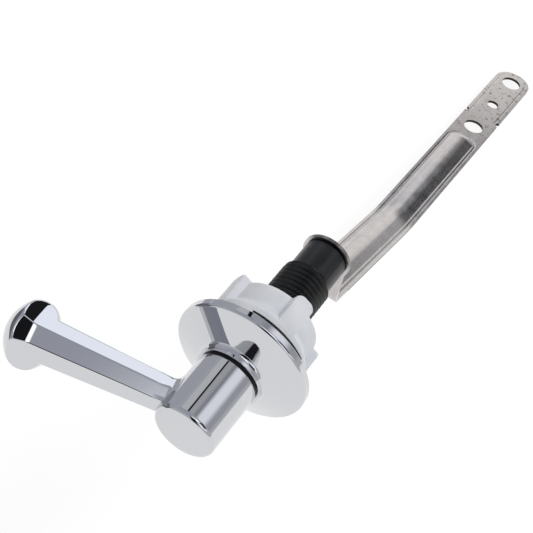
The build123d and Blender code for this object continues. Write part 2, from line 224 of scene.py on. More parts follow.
# Glass-filled nylon, moulded: near black with a soft sheen
blackNylon = mouldedPlastic("blackNylon", {
    "dark": "#0b0c0d", "light": "#131416", "roughness": 0.34, "driftSize": 6.0, "grainSize": 0.25,
    "grain": 0.12, "ior": 1.53, "sheen": 0.38, "glow": 0, "glowDepth": 0})
# Natural polypropylene, moulded: milky white that lets a little light in
milkyPropylene = mouldedPlastic("milkyPropylene", {
    "dark": "#dee1e7", "light": "#ebedf2", "roughness": 0.42, "driftSize": 9.0, "grainSize": 0.4,
    "grain": 0.05, "ior": 1.49, "sheen": 0.4, "glow": 0.2, "glowDepth": 1.5})
# Acetal bearing ring, moulded: dark and a little waxy
darkAcetal = mouldedPlastic("darkAcetal", {
    "dark": "#141416", "light": "#1f2023", "roughness": 0.34, "driftSize": 5.0, "grainSize": 0.3,
    "grain": 0.06, "ior": 1.48, "sheen": 0.2, "glow": 0, "glowDepth": 0})
# Turned brass, with rings of tool marks across the shaft
turnedBrass = turnedMetal("turnedBrass", {
    "dark": "#a5874a", "light": "#cdb271", "roughness": 0.3, "marks": [9.0, 0.25, 9.0]})
# Zinc plated steel of the screws and the lock washer: pale and slightly blue
zincSteel = turnedMetal("zincSteel", {
    "dark": "#9a9c9e", "light": "#c6c8ca", "roughness": 0.3, "marks": [0.9, 0.9, 0.9]})
print("materials made")


# Modelling helpers

def spinProfile(bm, profile, steps):
    # closed half profile of (radius, station) in millimetres, turned about the shaft
    verts = [bm.verts.new((radius * mm, station * mm, 0)) for radius, station in profile]
    edges = [bm.edges.new((verts[i - 1], verts[i])) for i in range(len(verts))]
    bmesh.ops.spin(bm, geom=verts + edges, cent=(0, 0, 0), axis=(0, 1, 0), angle=math.tau,
                   steps=steps, use_merge=True)
    bmesh.ops.remove_doubles(bm, verts=bm.verts, dist=0.002 * mm)


def roundRing(bm, radius, station, size, segments):
    # rounds the ring edge that stands at a radius and a station
    def onRing(vert):
        across = math.hypot(vert.co.x, vert.co.z)
        return abs(across - radius * mm) < 0.01 * mm and abs(vert.co.y - station * mm) < 0.01 * mm

    ring = [edge for edge in bm.edges if onRing(edge.verts[0]) and onRing(edge.verts[1])]
    bmesh.ops.bevel(bm, geom=ring, offset=size * mm, offset_type="OFFSET", segments=segments,
                    profile=0.5, affect="EDGES", material=-1)


def addBox(bm, low, high, turn, size, segments):
    # box between two corners in millimetres, its edges rounded, turned about the shaft
    made = bmesh.ops.create_cube(bm, size=1.0)["verts"]
    for vert in made:
        for axis in range(3):
            vert.co[axis] = (high[axis] if vert.co[axis] > 0 else low[axis]) * mm
    edges = list({edge for vert in made for edge in vert.link_edges})
    if size:
        made = bmesh.ops.bevel(bm, geom=edges, offset=size * mm, offset_type="OFFSET", segments=segments,
                               profile=0.5, affect="EDGES", material=-1)["verts"]
    bmesh.ops.rotate(bm, verts=made, cent=(0, 0, 0), matrix=Matrix.Rotation(turn, 3, "Y"))


def objectFrom(bm, name):
    bmesh.ops.recalc_face_normals(bm, faces=bm.faces)
    mesh = bpy.data.meshes.new(name)
    bm.to_mesh(mesh)
    bm.free()
    made = bpy.data.objects.new(name, mesh)
    scene.collection.objects.link(made)
    return made


def combine(base, other, operation):
    # joins, cuts or trims one object by another, and keeps only the result
    modifier = base.modifiers.new("combine", "BOOLEAN")
    modifier.operation = operation
    modifier.solver = "EXACT"
    modifier.object = other
    bpy.context.view_layer.update()
    result = bpy.data.meshes.new_from_object(base.evaluated_get(bpy.context.evaluated_depsgraph_get()))
    base.modifiers.clear()
    base.data = result
    bpy.data.objects.remove(other)


def finishPiece(piece, material, body, sharp, replaced):
    # smooth shading with its crisp edges kept, a material, a body to ride on
    piece.data.materials.clear()
    piece.data.materials.append(material)
    piece.data.shade_smooth()
    piece.data.set_sharp_from_angle(angle=math.radians(sharp))
    even = piece.modifiers.new("evenNormals", "WEIGHTED_NORMAL")
    even.keep_sharp = True
    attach(piece, body)
    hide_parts(replaced)
    print("made", piece.name, len(piece.data.polygons), "faces")


# Handle: a round hub and an eight-sided grip with a flattened ball at its end.
# The grip's front flats rise through the ball.
handleSizes = {
    "base": -11.154, "front": -31.654, "radius": 9.1, "edge": 1.5, "footEdge": 0.35,
    "socket": 4.05, "socketDepth": 15.0, "screwHole": 2.05, "screwFromBase": 6.0, "steps": 160,
    "lean": 9.7, "setback": 8.45, "facets": 8, "turn": -5.8, "perFacet": 36, "crisp": 110,
    "rootFlat": 4.45, "ballFlat": 6.35, "ball": 48.4, "ballRadius": 9.6, "ballHalf": 7.2, "shoulder": 5.4,
    "neckSoft": 30, "rimSoft": 45, "scoops": 3, "scoopFrom": 47.6, "scoopSlope": 31.0, "scoopRound": 4.0,
    "fillet": 2.8, "frontFillet": 0.45, "frontReach": 1.6, "filletSteps": 10, "sink": 0.04,
    "shankFrom": 12.5, "shankSteps": 6, "neckFrom": 41.0, "neckSteps": 64, "domeSteps": 72,
}


def flatHeight(s, reach):
    # distance of the bar's flats from its line
    return s["rootFlat"] + (s["ballFlat"] - s["rootFlat"]) * reach / s["ball"]


def ballHeight(s, reach):
    # radius of the ball at a reach along the grip: a small round at its waist, a large one at each end
    away = abs(reach - s["ball"])
    rise = s["ballRadius"] - s["shoulder"]
    tip = (s["ballHalf"] ** 2 + rise ** 2 - s["shoulder"] ** 2) / 2 / (s["ballHalf"] - s["shoulder"])
    centre = s["ballHalf"] - tip
    if away >= s["ballHalf"]:
        return 0.0
    if away <= s["shoulder"] * -centre / math.hypot(rise, centre):
        return rise + math.sqrt(s["shoulder"] ** 2 - away ** 2)
    return math.sqrt(tip ** 2 - (away - centre) ** 2)


def scoopHeight(s, reach):
    # a front flat as it runs on and rises through the ball
    first = math.atan((s["ballFlat"] - s["rootFlat"]) / s["ball"])
    last = math.radians(s["scoopSlope"])
    corner = flatHeight(s, s["scoopFrom"])
    run = s["scoopRound"] * math.tan((last - first) / 2)
    start = s["scoopFrom"] - run * math.cos(first)
    if reach <= start:
        return flatHeight(s, reach)
    if reach >= s["scoopFrom"] + run * math.cos(last):
        return corner + (reach - s["scoopFrom"]) * math.tan(last)
    side = reach - start + s["scoopRound"] * math.sin(first)
    below = math.sqrt(s["scoopRound"] ** 2 - side ** 2)
    return flatHeight(s, start) + s["scoopRound"] * math.cos(first) - below


def makeHandle():
    s = handleSizes
    bm = bmesh.new()
    socketEnd = s["base"] - s["socketDepth"]
    spinProfile(bm, [(s["socket"], s["base"]), (s["radius"], s["base"]), (s["radius"], s["front"]),
                     (0, s["front"]), (0, socketEnd), (s["socket"], socketEnd)], s["steps"])
    roundRing(bm, s["radius"], s["front"], s["edge"], 10)
    roundRing(bm, s["radius"], s["base"], s["footEdge"], 4)
    handle = objectFrom(bm, "handleChrome")
    cutter = bmesh.new()
    bmesh.ops.create_cone(cutter, cap_ends=True, segments=48, radius1=s["screwHole"] * mm,
                          radius2=s["screwHole"] * mm, depth=s["radius"] * mm)
    bmesh.ops.translate(cutter, verts=cutter.verts,
                        vec=(0, (s["base"] - s["screwFromBase"]) * mm, -s["radius"] * mm))
    combine(handle, objectFrom(cutter, "screwHole"), "DIFFERENCE")

    lean = math.radians(s["lean"])
    root = Vector((0, s["front"] + s["setback"], 0))
    along = Vector((-math.cos(lean), -math.sin(lean), 0))
    front = Vector((math.sin(lean), -math.cos(lean), 0))
    up = Vector((0, 0, 1))
    half = math.pi / s["facets"]
    turn = math.radians(s["turn"])
    count = s["facets"] * s["perFacet"]

    def ringAngle(index):
        # angles crowd towards the ridges, where the section turns
        facet, step = divmod(index, s["perFacet"])
        return (2 * facet + 1 + math.sin(math.pi / 2 * (2 * step / s["perFacet"] - 1))) * half + turn

    def sectionRadius(angle, reach):
        # the back flats joined with the ball, then cut by the front flats, all with slightly eased corners
        def facing(facet):
            return max(math.cos(angle - turn - (2 * facet + 1) * half), 0.0)

        outer = ballHeight(s, reach)
        if reach <= s["ball"]:
            flat = flatHeight(s, reach)
            total = sum((facing(facet) / flat) ** s["crisp"] for facet in range(s["scoops"], s["facets"]))
            bar = min(total ** (-1 / s["crisp"]), 100.0) if total > 1e-200 else 100.0
            outer = (bar ** s["neckSoft"] + outer ** s["neckSoft"]) ** (1 / s["neckSoft"])
        if outer <= 0:
            return 0.0
        scoop = scoopHeight(s, reach)
        total = sum((facing(facet) / scoop) ** s["crisp"] for facet in range(s["scoops"]))
        return (outer ** -s["rimSoft"] + total ** (s["rimSoft"] / s["crisp"])) ** (-1 / s["rimSoft"])

    def gripPoint(angle, reach):
        out = front * math.cos(angle) + up * math.sin(angle)
        return root + along * reach + out * sectionRadius(angle, reach)

    def filletRow(angle):
        # from the hub's side round to the grip's side, tangent to both
        low, high = 0.0, s["shankFrom"]
        for _ in range(40):
            reach = (low + high) / 2
            point = gripPoint(angle, reach)
            if math.hypot(point.x, point.z) < s["radius"]:
                low = reach
            else:
                high = reach
        edge = gripPoint(angle, high)
        tiny = 0.01
        sideways = gripPoint(angle + tiny, high) - gripPoint(angle - tiny, high)
        lengthways = gripPoint(angle, high + tiny) - gripPoint(angle, high - tiny)
        grip = sideways.cross(lengthways).normalized()
        out = front * math.cos(angle) + up * math.sin(angle)
        if grip.dot(out) < 0:
            grip.negate()
        hub = Vector((edge.x, 0, edge.z)).normalized()
        # the blend is small at the grip's front
        frontness = min(max(s["frontReach"] * math.cos(angle), 0), 1)
        size = s["fillet"] + (s["frontFillet"] - s["fillet"]) * frontness
        centre = edge + (grip + hub) * (size / (1 + grip.dot(hub)))
        row = []
        for step in range(s["filletSteps"] + 1):
            facing = hub.slerp(grip, step / s["filletSteps"])
            row.append(centre - facing * size)
        sunk = (s["radius"] - s["sink"]) / math.hypot(row[0].x, row[0].z)
        row[0] = Vector((row[0].x * sunk, row[0].y, row[0].z * sunk))
        return row

    bm = bmesh.new()
    ring = bmesh.ops.create_circle(bm, cap_ends=False, segments=count, radius=mm)["verts"]
    rows = [filletRow(ringAngle(index)) for index in range(count)]
    places = [[row[step] for row in rows] for step in range(s["filletSteps"] + 1)]
    shankStep = (s["neckFrom"] - s["shankFrom"]) / s["shankSteps"]
    reaches = [s["shankFrom"] + shankStep * step for step in range(s["shankSteps"])]
    neckStep = (s["ball"] - s["neckFrom"]) / s["neckSteps"]
    reaches += [s["neckFrom"] + neckStep * step for step in range(s["neckSteps"])]
    reaches += [s["ball"] + s["ballHalf"] * math.sin(math.pi / 2 * step / s["domeSteps"])
                for step in range(s["domeSteps"] + 1)]
    places += [[gripPoint(ringAngle(index), reach) for index in range(count)] for reach in reaches]
    for level, row in enumerate(places):
        if level:
            edges = list({edge for vert in ring for edge in vert.link_edges
                          if edge.verts[0] in ring and edge.verts[1] in ring})
            grown = bmesh.ops.extrude_edge_only(bm, edges=edges)["geom"]
            fresh = {item for item in grown if isinstance(item, bmesh.types.BMVert)}
            ring = [next(edge.other_vert(vert) for edge in vert.link_edges if edge.other_vert(vert) in fresh)
                    for vert in ring]
        for vert, place in zip(ring, row):
            vert.co = place * mm
    bmesh.ops.remove_doubles(bm, verts=bm.verts, dist=0.002 * mm)
    openEnd = [edge for edge in bm.edges if edge.is_boundary]  # inside the hub
    bmesh.ops.holes_fill(bm, edges=openEnd, sides=0)
    bmesh.ops.recalc_face_normals(bm, faces=bm.faces)
    bm.from_mesh(handle.data)
    bmesh.ops.dissolve_degenerate(bm, dist=0.001 * mm, edges=bm.edges)
    bmesh.ops.recalc_face_normals(bm, faces=bm.faces)
    bm.to_mesh(handle.data)
    bm.free()
    finishPiece(handle, chrome, "lever", 40, "handle")


makeHandle()

# Escutcheon: coned face with a rounded rim and a coved collar
escutcheonSizes = {
    "radius": 20.0, "wall": 1.5, "back": -2.0, "corner": -4.4, "slope": 21.7, "collar": 9.8, "front": -10.404,
    "bore": 7.55, "flange": -2.2, "boss": 9.6, "rimRound": 0.9, "cove": 1.4,
    "collarEdge": 0.15, "backEdge": 0.2, "steps": 192,
}


def makeEscutcheon():
    s = escutcheonSizes
    rise = math.tan(math.radians(s["slope"]))
    ease = math.tan(math.radians(45 - s["slope"] / 2))  # offset along the faces for a round of radius 1
    collarFoot = s["corner"] - (s["radius"] - s["collar"]) * rise
    inner = s["radius"] - s["wall"]
    bossFoot = s["corner"] - (s["radius"] - s["boss"]) * rise + s["wall"]
    innerFoot = s["corner"] - (s["radius"] - inner) * rise + s["wall"]
    bm = bmesh.new()
    spinProfile(bm, [(s["radius"], s["back"]), (s["radius"], s["corner"]), (s["collar"], collarFoot),
                     (s["collar"], s["front"]), (s["bore"], s["front"]), (s["bore"], s["flange"]),
                     (s["boss"], s["flange"]), (s["boss"], bossFoot), (inner, innerFoot), (inner, s["back"])],
                s["steps"])
    roundRing(bm, s["radius"], s["corner"], s["rimRound"] * ease, 10)
    roundRing(bm, s["collar"], collarFoot, s["cove"] * ease, 10)
    roundRing(bm, s["collar"], s["front"], s["collarEdge"], 4)
    roundRing(bm, s["radius"], s["back"], s["backEdge"], 4)
    finishPiece(objectFrom(bm, "escutcheonChrome"), chrome, "mounting", 40, "escutcheon")


makeEscutcheon()

# Threaded bush: notched flange, a screw thread and a plain nose with its mould lines
bushSizes = {
    "front": -10.404, "neck": 7.5, "flange": 18.2, "flangeFront": -2.2, "flangeEdge": 0.3, "bore": 4.05,
    "crest": 7.6, "root": 6.8, "sink": 0.05, "bed": 6.0, "pitch": 1.65, "threadEnd": 30.4, "chamfer": 0.9,
    "startTrim": 0.02, "endTrim": 0.05, "stepsPerTurn": 72,
    "nose": 6.6, "noseLead": 0.1, "end": 40.2, "noseEdge": 0.5, "steps": 128,
    "notches": 4, "notchAngle": 30.0, "notchDepth": 2.6, "notchStart": 111.0, "notchRound": 1.2,
    "cutterOut": 4.0, "cutterBack": 2.0,
    "mouldLine": 0.09, "mouldWidth": 0.24, "mouldSink": 0.2, "mouldRound": 0.06, "mouldTurns": (38.0, 218.0),
}


def makeBush():
    s = bushSizes
    core = s["root"] - s["sink"]
    bm = bmesh.new()
    spinProfile(bm, [(s["bore"], s["front"]), (s["neck"], s["front"]), (s["neck"], s["flangeFront"]),
                     (s["flange"], s["flangeFront"]), (s["flange"], 0), (core, 0),
                     (core, s["threadEnd"] - s["noseLead"]), (s["nose"], s["threadEnd"]),
                     (s["nose"], s["end"]), (s["bore"], s["end"])], s["steps"])
    roundRing(bm, s["nose"], s["end"], s["noseEdge"], 5)
    roundRing(bm, s["flange"], 0, s["flangeEdge"], 3)
    roundRing(bm, s["flange"], s["flangeFront"], s["flangeEdge"], 3)
    bush = objectFrom(bm, "threadedBush")
    for notch in range(s["notches"]):
        turn = -math.radians(s["notchStart"] + notch * 360 / s["notches"])
        half = s["flange"] * math.tan(math.radians(s["notchAngle"] / 2))
        cutter = bmesh.new()
        addBox(cutter, (s["flange"] - s["notchDepth"], -s["cutterOut"], -half),
               (s["flange"] + s["cutterOut"], s["cutterBack"], half), turn, s["notchRound"], 4)
        combine(bush, objectFrom(cutter, "notch"), "DIFFERENCE")
    # one tooth of the thread as (radius, station), turned into a helix
    bm = bmesh.new()
    tooth = [(core, 0.0), (s["root"] + 0.04, 0.09), (s["crest"] - 0.14, 0.62), (s["crest"], 0.75),
             (s["crest"], 0.9), (s["crest"] - 0.14, 1.03), (s["root"] + 0.04, 1.56), (core, s["pitch"])]
    verts = [bm.verts.new((radius * mm, (station - s["pitch"]) * mm, 0)) for radius, station in tooth]
    edges = [bm.edges.new(pair) for pair in zip(verts, verts[1:])]
    turns = math.ceil(s["threadEnd"] / s["pitch"]) + 1
    steps = turns * s["stepsPerTurn"]
    bmesh.ops.spin(bm, geom=verts + edges, cent=(0, 0, 0), axis=(0, 1, 0), angle=turns * math.tau,
                   steps=steps, dvec=(0, s["pitch"] * mm / s["stepsPerTurn"], 0))
    bmesh.ops.remove_doubles(bm, verts=bm.verts, dist=0.01 * mm)
    # trims the helix to the flange and the nose
    for place, facing in ((s["startTrim"], -1), (s["threadEnd"] - s["endTrim"], 1)):
        bmesh.ops.bisect_plane(bm, geom=bm.verts[:] + bm.edges[:] + bm.faces[:], plane_co=(0, place * mm, 0),
                               plane_no=(0, facing, 0), clear_outer=True)
    for vert in bm.verts:  # lead chamfer
        across = math.hypot(vert.co.x, vert.co.z) / mm
        past = vert.co.y / mm - s["threadEnd"] + s["chamfer"]
        limit = s["crest"] - past * (s["crest"] - s["nose"]) / s["chamfer"]
        if across > limit:
            vert.co.x *= limit / across
            vert.co.z *= limit / across
    rims = [edge for edge in bm.edges if edge.is_boundary]
    grown = bmesh.ops.extrude_edge_only(bm, edges=rims)["geom"]
    # the ends of the helix go down into the core
    for vert in [item for item in grown if isinstance(item, bmesh.types.BMVert)]:
        across = math.hypot(vert.co.x, vert.co.z) / mm
        vert.co.x *= s["bed"] / across
        vert.co.z *= s["bed"] / across
    bmesh.ops.bridge_loops(bm, edges=[edge for edge in bm.edges if edge.is_boundary])
    for turn in s["mouldTurns"]:
        addBox(bm, (s["nose"] - s["mouldSink"], s["threadEnd"], -s["mouldWidth"] / 2),
               (s["nose"] + s["mouldLine"], s["end"] - s["noseEdge"], s["mouldWidth"] / 2),
               -math.radians(turn), s["mouldRound"], 2)
    bmesh.ops.recalc_face_normals(bm, faces=bm.faces)
    bm.from_mesh(bush.data)
    bm.to_mesh(bush.data)
    bm.free()
    finishPiece(bush, blackNylon, "mounting", 38, "threaded_body")


makeBush()

# Winged nut: coned flange, round core and four finger wings
nutSizes = {
    "front": 0.5, "back": 13.7, "bore": 7.75, "core": 13.0, "flange": 15.4, "flangeEdge": 3.7, "cone": 6.5,
    "wings": 4, "wingStart": 63.0, "wingRadius": 15.2, "wingFoot": 11.7, "wingWidth": 6.2, "wingBack": 15.0,
    "wingCorner": 2.2, "wingEdge": 0.7, "frontRound": 0.5, "flangeRound": 0.7, "coneRound": 1.0,
    "backRound": 0.8, "boreRound": 0.5, "steps": 128,
}


def makeNut():
    s = nutSizes
    bm = bmesh.new()
    spinProfile(bm, [(s["bore"], s["front"]), (s["flange"], s["front"]), (s["flange"], s["flangeEdge"]),
                     (s["core"], s["cone"]), (s["core"], s["back"]), (s["bore"], s["back"])], s["steps"])
    roundRing(bm, s["flange"], s["front"], s["frontRound"], 4)
    roundRing(bm, s["flange"], s["flangeEdge"], s["flangeRound"], 5)
    roundRing(bm, s["core"], s["cone"], s["coneRound"], 5)
    roundRing(bm, s["core"], s["back"], s["backRound"], 5)
    roundRing(bm, s["bore"], s["back"], s["boreRound"], 3)
    nut = objectFrom(bm, "wingedNut")
    for wing in range(s["wings"]):
        turn = -math.radians(s["wingStart"] + wing * 360 / s["wings"])
        bm = bmesh.new()
        half = s["wingWidth"] / 2
        addBox(bm, (s["wingFoot"], s["front"] + 0.1, -half), (s["wingRadius"], s["wingBack"], half), 0, 0, 0)
        corners = [edge for edge in bm.edges if all(vert.co.y > s["back"] * mm for vert in edge.verts)
                   and abs(edge.verts[0].co.x - edge.verts[1].co.x) > mm]
        bmesh.ops.bevel(bm, geom=corners, offset=s["wingCorner"] * mm, offset_type="OFFSET", segments=8,
                        profile=0.5, affect="EDGES", material=-1)
        face = (s["wingRadius"] - 0.1) * mm
        outer = [edge for edge in bm.edges if all(vert.co.x > face for vert in edge.verts)]
        bmesh.ops.bevel(bm, geom=outer, offset=s["wingEdge"] * mm, offset_type="OFFSET", segments=4,
                        profile=0.5, affect="EDGES", material=-1)
        bmesh.ops.rotate(bm, verts=bm.verts, cent=(0, 0, 0), matrix=Matrix.Rotation(turn, 3, "Y"))
        combine(nut, objectFrom(bm, "wing"), "UNION")
    finishPiece(nut, milkyPropylene, "nut", 38, "mounting_nut")


makeNut()

# Arm: a strip cut flat, pressed with a crowned panel, then folded at the lug and bent at the dogleg
armSizes = {
    "sheet": 1.0, "width": 13.4, "disc": 7.5, "lug": 40.9, "drop": 17.4, "foldRadius": 5.0,
    "nearSlope": 21.2, "farSlope": 9.4, "near": 63.0, "doglegRadius": 45.0,
    "hole": 3.55, "smallHole": 2.15, "firstHole": 66.2, "pitch": 18.0, "endMargin": 7.0, "endFlat": 0.6,
    "nick": 1.1, "nickOffset": 8.0, "square": 5.7, "edge": 0.12,
    "panelWidth": 10.0, "panelRise": 0.55, "panelCrown": 0.9, "panelFrom": 5.0, "panelGap": 4.2,
    "panelRound": 3.9, "panelWall": 0.6, "panelStart": 1.4, "crownCuts": [0, 1.2, 2.3, 3.2, 3.8],
    "crownEase": 3.0, "cutMargin": 0.9, "startCuts": 3.0, "endCuts": 6.1,
    "coinDepth": 0.16, "coinPlace": 0.38, "coinWidth": 0.24,
    "rimWidth": 1.5, "rimRoll": 0.07, "rimLine": 0.06, "rimFade": 0.6,
}


def armPath(s):
    # the strip's middle line as runs of (length, slope at the start, slope at the end)
    nearSlope, farSlope = math.radians(s["nearSlope"]), math.radians(s["farSlope"])
    foldTurn, dogTurn = math.pi / 2 - nearSlope, nearSlope - farSlope
    foldCut = s["foldRadius"] * math.tan(foldTurn / 2)
    dogCut = s["doglegRadius"] * math.tan(dogTurn / 2)
    far = s["firstHole"] + 2 * s["pitch"] + s["endMargin"]
    return [(s["drop"] - foldCut, math.pi / 2, math.pi / 2),
            (s["foldRadius"] * foldTurn, math.pi / 2, nearSlope),
            (s["near"] - foldCut - dogCut, nearSlope, nearSlope),
            (s["doglegRadius"] * dogTurn, nearSlope, farSlope),
            (far - dogCut, farSlope, farSlope)]


def makeArm():
    s = armSizes
    runs = armPath(s)
    starts = [sum(run[0] for run in runs[:i]) for i in range(len(runs) + 1)]
    half, thick = s["width"] / 2, s["sheet"] / 2
    # the dogleg's corner, laid flat
    farCut = starts[4] - s["doglegRadius"] * math.tan((runs[3][1] - runs[3][2]) / 2)
    holes = [farCut + s["firstHole"] + step * s["pitch"] for step in range(3)]
    panelFrom = starts[2] + s["panelFrom"] - s["foldRadius"] * math.tan((math.pi / 2 - runs[2][1]) / 2)
    panelTo = holes[0] - s["hole"] - s["panelGap"]

    # flat blank: across is X, along is Y, thickness is Z
    bm = bmesh.new()
    addBox(bm, (-half, 0, -thick), (half, starts[-1], thick), 0, 0, 0)
    ends = [edge for edge in bm.edges if all(vert.co.y > mm for vert in edge.verts)
            and abs(edge.verts[0].co.z - edge.verts[1].co.z) > 0.5 * mm]
    bmesh.ops.bevel(bm, geom=ends, offset=(half - s["endFlat"] / 2) * mm, offset_type="OFFSET", segments=20,
                    profile=0.5, affect="EDGES", material=-1)
    arm = objectFrom(bm, "armStrip")

    def disc(radius, along, across, deep, segments):
        made = bmesh.new()
        bmesh.ops.create_cone(made, cap_ends=True, segments=segments, radius1=radius * mm,
                              radius2=radius * mm, depth=deep * mm)
        bmesh.ops.translate(made, verts=made.verts, vec=(across * mm, along * mm, 0))
        return objectFrom(made, "disc")

    combine(arm, disc(s["disc"], 0, 0, s["sheet"], 96), "UNION")
    through = 4 * s["sheet"]  # depth of the cutters
    square = bmesh.new()
    addBox(square, (-s["square"] / 2, -s["square"] / 2, -through / 2),
           (s["square"] / 2, s["square"] / 2, through / 2), 0, 0, 0)
    combine(arm, objectFrom(square, "square"), "DIFFERENCE")
    for radius, along in zip((s["hole"], s["smallHole"], s["hole"]), holes):
        combine(arm, disc(radius, along, 0, through, 64), "DIFFERENCE")
    for side in (-1, 1):
        combine(arm, disc(s["nick"], holes[0] + s["nickOffset"], side * half, through, 32), "DIFFERENCE")

    # cuts the blank into cells that can be pressed and bent
    bm = bmesh.new()
    bm.from_mesh(arm.data)
    wall, edgeX = s["panelWall"], s["panelWidth"] / 2
    acrossCuts = s["crownCuts"] + [edgeX - wall + wall * step / 8 for step in range(9)]
    acrossCuts += [edgeX + 0.1 * step for step in range(1, 10)]
    acrossCuts = sorted({side * cut for cut in acrossCuts for side in (-1, 1)})
    alongCuts = [starts[1] + runs[1][0] * step / 10 for step in range(11)]
    alongCuts += [starts[3] + runs[3][0] * step / 8 for step in range(9)]
    alongCuts += [panelFrom - s["cutMargin"] + s["startCuts"] * step / 24 for step in range(25)]
    alongCuts += [panelTo + s["cutMargin"] - s["endCuts"] * step / 44 for step in range(45)]
    tabFrom, endRound = holes[0] + s["nickOffset"], half - s["endFlat"] / 2
    alongCuts += [tabFrom + s["rimFade"] * step / 3 for step in range(4)]
    alongCuts += [starts[-1] - endRound * step / 22 for step in range(1, 23)]
    alongCuts += [start + 10 * step for start in (starts[2], starts[4]) for step in range(1, 6)]
    for cut in acrossCuts:
        bmesh.ops.bisect_plane(bm, geom=bm.verts[:] + bm.edges[:] + bm.faces[:], plane_co=(cut * mm, 0, 0),
                               plane_no=(1, 0, 0), dist=1e-7)
    for cut in alongCuts:
        bmesh.ops.bisect_plane(bm, geom=bm.verts[:] + bm.edges[:] + bm.faces[:], plane_co=(0, cut * mm, 0),
                               plane_no=(0, 1, 0), dist=1e-7)

    def pressed(across, along):
        # how far the panel stands up: a crowned field with a rounded outline, soft walls and a coined line
        middle, length = (panelFrom + panelTo) / 2, (panelTo - panelFrom) / 2
        radius = s["panelRound"] if along > middle else s["panelStart"]
        offX = abs(across) - edgeX + radius
        offY = abs(along - middle) - length + radius
        depth = radius - math.hypot(max(offX, 0), max(offY, 0)) - min(max(offX, offY), 0)
        share = min(max(depth / wall, 0), 1)
        crown = s["panelCrown"] * max(1 - (across / edgeX) ** 2, 0) * min(max(depth / s["crownEase"], 0), 1)
        coined = s["coinDepth"] * math.exp(-((depth + s["coinPlace"]) / s["coinWidth"]) ** 2)
        # the end of the tab has a coined rim that falls away to its edge
        offX, offY = abs(across) - half + endRound, along - starts[-1] + endRound
        inside = endRound - math.hypot(max(offX, 0), max(offY, 0)) - min(max(offX, offY), 0)
        begun = min(max((along - tabFrom) / s["rimFade"], 0), 1)
        line = s["rimLine"] * math.exp(-((inside - s["rimWidth"]) / s["coinWidth"]) ** 2)
        rim = (s["rimRoll"] * min(max(1 - inside / s["rimWidth"], 0), 1) + line) * begun
        return s["panelRise"] * share * share * (3 - 2 * share) + crown - coined - rim

    def bent(along):
        # place and upward normal of the middle line
        place = Vector((0, s["lug"], 0))
        for run in runs:
            length, first, last = run
            part = along if run is runs[-1] else min(along, length)
            if first == last:
                place += Vector((0, math.cos(first), -math.sin(first))) * part
                slope = first
            else:
                slope = first + (last - first) * part / length
                radius = length / (first - last)
                turned = Vector((0, math.sin(first) - math.sin(slope), math.cos(first) - math.cos(slope)))
                place += turned * radius
            along -= part
            if along <= 0:
                break
        return place, Vector((0, math.sin(slope), math.cos(slope)))

    for vert in bm.verts:
        across, along, height = (value / mm for value in vert.co)
        place, normal = bent(along)
        vert.co = (place + normal * (height + pressed(across, along)) + Vector((across, 0, 0))) * mm
    bmesh.ops.recalc_face_normals(bm, faces=bm.faces)
    bm.to_mesh(arm.data)
    bm.free()
    soft = arm.modifiers.new("brokenEdges", "BEVEL")
    soft.width = s["edge"] * mm
    soft.segments = 2
    soft.limit_method = "ANGLE"
    soft.angle_limit = math.radians(50)
    finishPiece(arm, steel, "lever", 50, "lever_arm")


makeArm()

# The small solid pieces keep their own shapes
plainPieces = {"hub_washer": darkAcetal, "spindle": turnedBrass, "grub_screw": zincSteel,
               "lock_washer": zincSteel, "arm_screw": zincSteel}
for nodeName, material in plainPieces.items():
    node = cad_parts[nodeName]
    node.data.materials.clear()
    node.data.materials.append(material)

# Studio: white floor, soft lamps and the surroundings that the chrome mirrors
studio = {
    "floor": -60.5, "floorSize": 4000.0, "floorColour": "#f4f4f4", "floorGlow": 0.75, "glowStrength": 1.14,
    "low": "#c6c8cb", "zenith": "#aeb1bb", "lowTo": 0.25, "zenithFrom": 0.85, "fill": 0.3,
    "lampTarget": (0, 60, -10),
}


def makeFloor():
    bm = bmesh.new()
    bmesh.ops.create_grid(bm, x_segments=1, y_segments=1, size=studio["floorSize"] / 2 * mm)
    bmesh.ops.translate(bm, verts=bm.verts, vec=(0, 0, studio["floor"] * mm))
    floor = objectFrom(bm, "floor")
    material, tree, shader = newMaterial("paperSweep")
    shader.inputs["Base Color"].default_value = linear(studio["floorColour"])
    shader.inputs["Roughness"].default_value = 0.9
    rays = addNode(tree, "ShaderNodeLightPath")
    seen = addNode(tree, "ShaderNodeMath", {"operation": "MAXIMUM"},
                   links={0: rays.outputs["Is Camera Ray"], 1: rays.outputs["Is Glossy Ray"]})
    seen = addNode(tree, "ShaderNodeMath", {"operation": "MAXIMUM"},
                   links={0: seen.outputs[0], 1: rays.outputs["Is Transmission Ray"]})
    share = addNode(tree, "ShaderNodeMath", {"operation": "MULTIPLY"}, {1: studio["floorGlow"]},
                    {0: seen.outputs[0]})
    glow = addNode(tree, "ShaderNodeEmission",
                   values={"Color": (1, 1, 1, 1), "Strength": studio["glowStrength"]})
    mixed = addNode(tree, "ShaderNodeMixShader",
                    links={0: share.outputs[0], 1: shader.outputs[0], 2: glow.outputs[0]})
    tree.links.new(mixed.outputs[0], tree.nodes["Material Output"].inputs["Surface"])
    floor.data.materials.append(material)


makeFloor()

# cards that only the shiny surfaces see, in millimetres: where each stands and what it faces,
# its width and height, then its light
cards = [
    ("backCard", (-130, 410, 221), (-30, -30, 6), 380, 180, (1.2, 1.24, 1.36)),
    ("armFlag", (36, 430, 127), (36, 0, 127), 208, 126, (0.015, 0.015, 0.016)),
    ("tabCard", (-85, 415, 24), (0, 190, -55), 160, 112, (1.15, 1.14, 1.12)),
    ("lowWall", (-217, 107, -28), (-6, -20, 0), 200, 64, (0.46, 0.47, 0.52)),
    ("leftFlag", (-235, -60, -10), (0, -60, -10), 280, 100, (0.17, 0.17, 0.19)),
]


